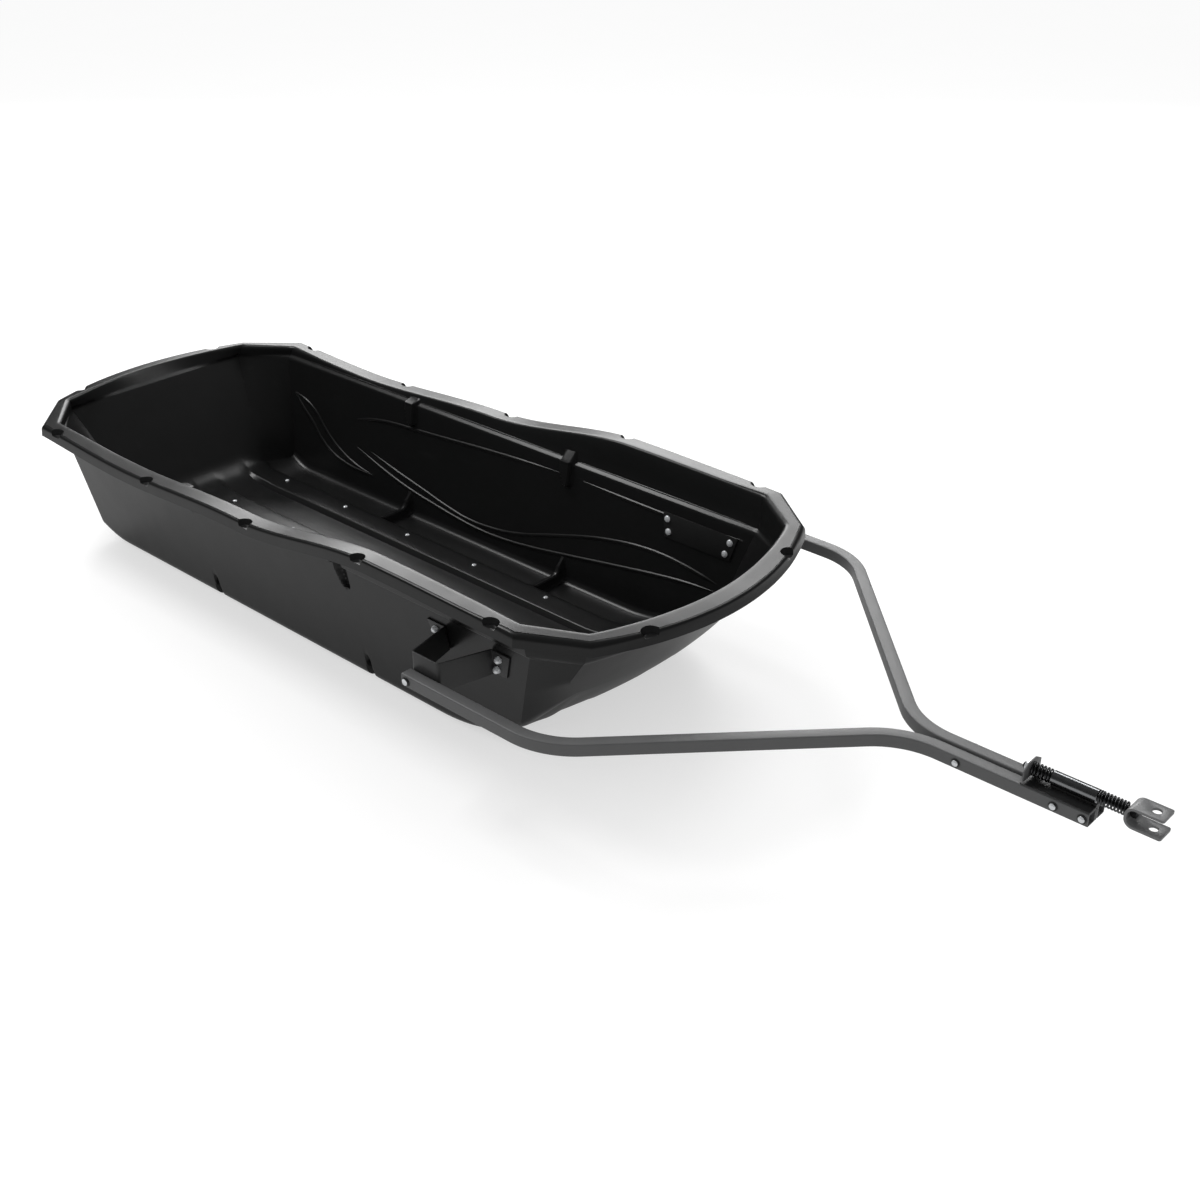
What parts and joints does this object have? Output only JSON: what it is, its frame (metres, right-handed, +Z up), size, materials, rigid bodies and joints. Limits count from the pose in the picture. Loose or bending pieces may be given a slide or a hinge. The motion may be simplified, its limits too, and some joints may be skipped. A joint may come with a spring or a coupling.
{
  "type": "utility sled",
  "caption": "Moulded tub sled on runner bars, with a hinged wishbone tow bar, a sprung draw rod and a clevis for a pin hitch.",
  "frame": {"origin": "on the ground, under the middle of the whole sled with its tow bar level", "axes": "+X forward from the tub to the clevis, +Y to the sled's left, +Z up"},
  "size_m": [2.7804, 0.97, 0.3706],
  "materials": {
    "hull_black": "moulded polyethylene, satin, faintly pebbled",
    "bar_black": "extruded polyethylene, dull",
    "frame_grey": "charcoal powder coat over steel",
    "dark_steel": "black coated steel",
    "zinc": "bright zinc plate",
    "spring_steel": "dark oiled spring steel",
    "clevis_grey": "grey coated steel strip"
  },
  "bodies": {
    "sled": {"hull": "hull_black", "runner_bar_left": "bar_black", "runner_bar_center": "bar_black", "runner_bar_right": "bar_black", "floor_screw_left_1": "zinc", "floor_screw_left_2": "zinc", "floor_screw_left_3": "zinc", "floor_screw_left_4": "zinc", "floor_screw_left_5": "zinc", "floor_screw_center_1": "zinc", "floor_screw_center_2": "zinc", "floor_screw_center_3": "zinc", "floor_screw_center_4": "zinc", "floor_screw_center_5": "zinc", "floor_screw_right_1": "zinc", "floor_screw_right_2": "zinc", "floor_screw_right_3": "zinc", "floor_screw_right_4": "zinc", "floor_screw_right_5": "zinc", "backing_plate_left": "dark_steel", "backing_plate_right": "dark_steel", "arm_bracket_left": "frame_grey", "arm_bracket_right": "frame_grey", "bracket_bolt_left_1": "zinc", "bracket_bolt_left_2": "zinc", "bracket_bolt_left_3": "zinc", "bracket_bolt_left_4": "zinc", "bracket_bolt_right_1": "zinc", "bracket_bolt_right_2": "zinc", "bracket_bolt_right_3": "zinc", "bracket_bolt_right_4": "zinc", "bracket_nut_left_1": "zinc", "bracket_nut_left_2": "zinc", "bracket_nut_left_3": "zinc", "bracket_nut_left_4": "zinc", "bracket_nut_right_1": "zinc", "bracket_nut_right_2": "zinc", "bracket_nut_right_3": "zinc", "bracket_nut_right_4": "zinc", "pivot_bolt_left": "zinc", "pivot_bolt_right": "zinc", "pivot_nut_left": "zinc", "pivot_nut_right": "zinc"},
    "tow_bar": {"tow_arm_left": "frame_grey", "tow_arm_right": "frame_grey", "head_bolt_1": "zinc", "head_bolt_2": "zinc", "head_bolt_3": "zinc", "head_nut_1": "zinc", "head_nut_2": "zinc", "head_nut_3": "zinc", "arm_spacer": "dark_steel", "hitch_carrier": "dark_steel", "hitch_sleeve": "zinc", "rear_spring": "spring_steel", "front_spring": "spring_steel"},
    "draw_bar": {"draw_rod": "spring_steel", "rod_nut": "zinc", "retainer_plate": "frame_grey", "clevis": "clevis_grey"}
  },
  "joints": [
    {"name": "tow_bar_swing", "type": "hinge", "parent": "sled", "child": "tow_bar", "pos_m": [0.1543, 0, 0.227], "axis": [0, -1, 0], "range_deg": [-10, 148]},
    {"name": "draw_bar_slide", "type": "slide", "parent": "tow_bar", "child": "draw_bar", "axis": [1, 0, 0], "range_m": [-0.02, 0.014], "stiffness_N_per_m": 18000, "deforming": ["rear_spring", "front_spring"]}
  ]
}
